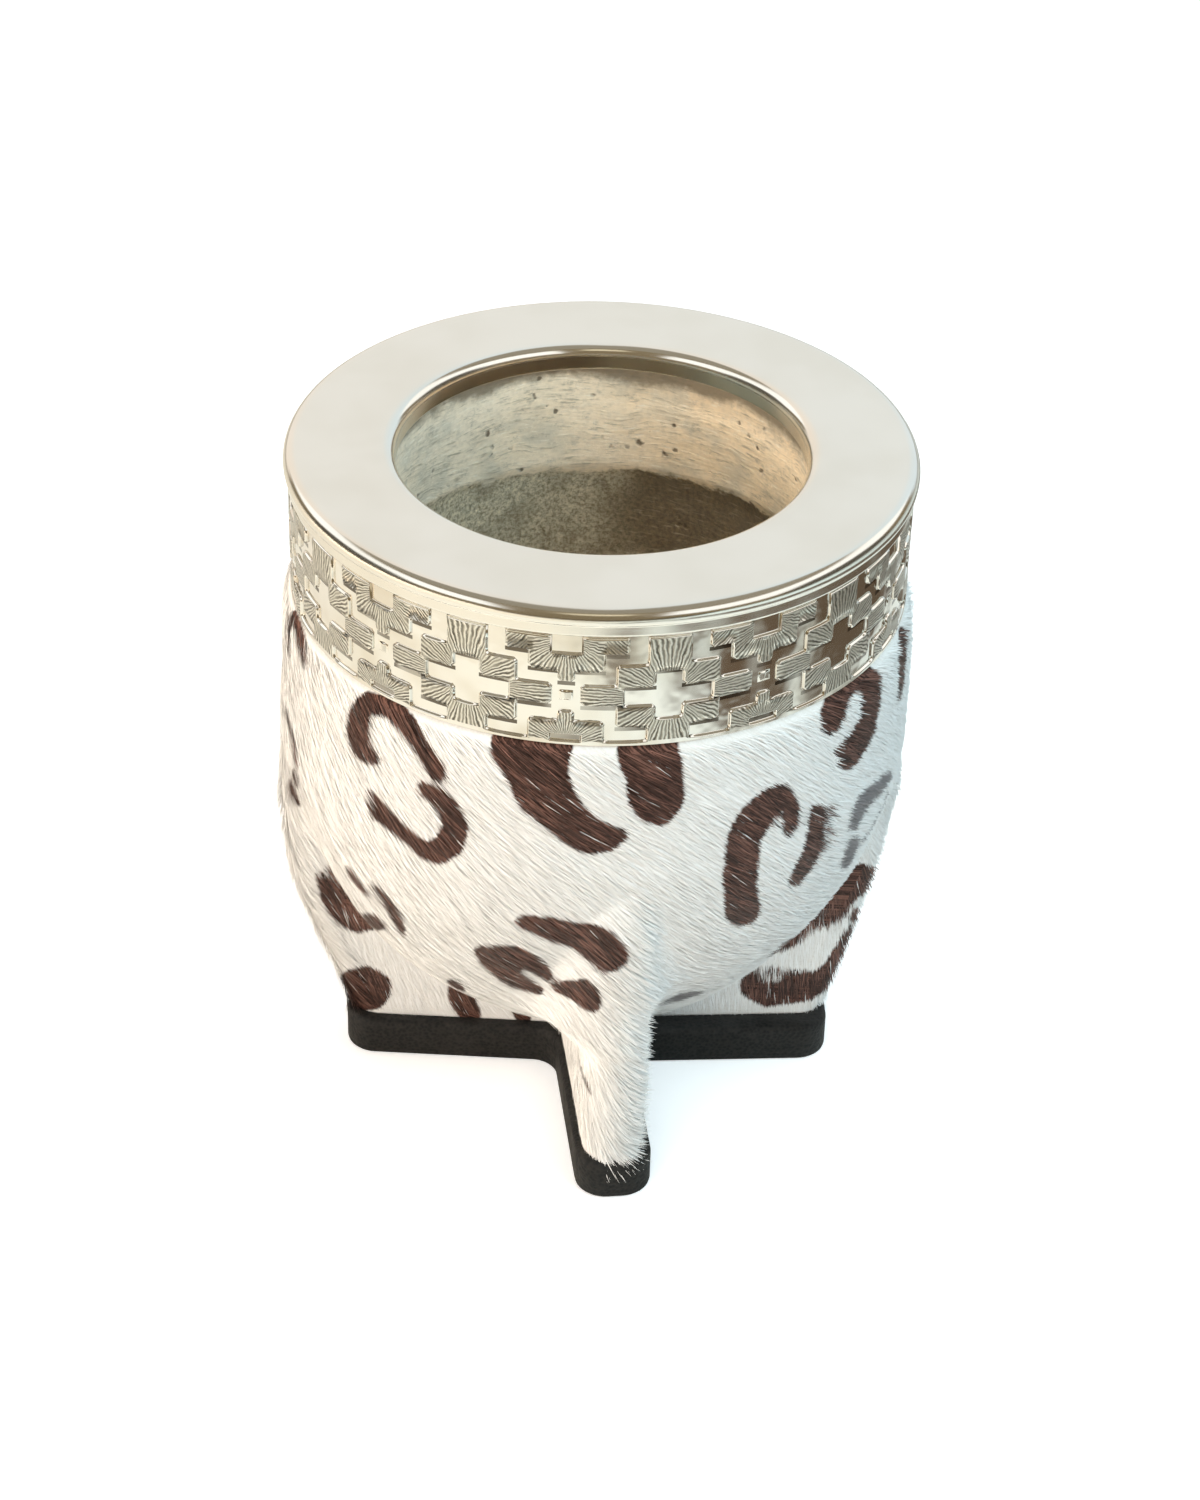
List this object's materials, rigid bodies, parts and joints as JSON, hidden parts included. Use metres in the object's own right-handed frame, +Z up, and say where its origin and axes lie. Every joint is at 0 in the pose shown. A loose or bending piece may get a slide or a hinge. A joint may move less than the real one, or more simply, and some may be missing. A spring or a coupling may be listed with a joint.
{
  "type": "mate gourd",
  "caption": "Thick gourd drinking cup in a spotted hide cover folded into legs on a cross-shaped sole, with a flat metal rim and a chiselled neck band.",
  "frame": {"origin": "centre of the sole's bottom face, on the gourd's axis at table level", "axes": "+Z up along the gourd's axis to the mouth, front leg near -Y, right leg near +X"},
  "size_m": [0.0926, 0.0926, 0.108],
  "materials": {
    "rim_metal": "polished",
    "band_metal": "satin",
    "bedding": "matte",
    "gourd": "matte",
    "hide": "matte",
    "core_leather": "matte",
    "sole_leather": "matte"
  },
  "bodies": {
    "root": {"rim_plate": "rim_metal", "throat_collar": "rim_metal", "chiselled_band": "band_metal", "bedding_ring": "bedding", "gourd_shell": "gourd", "hide_belly": "hide", "front_leg_fold": "hide", "right_leg_fold": "hide", "back_leg_fold": "hide", "left_leg_fold": "hide", "front_leg_core": "core_leather", "right_leg_core": "core_leather", "back_leg_core": "core_leather", "left_leg_core": "core_leather", "centre_pad": "core_leather", "sole": "sole_leather"}
  },
  "joints": []
}
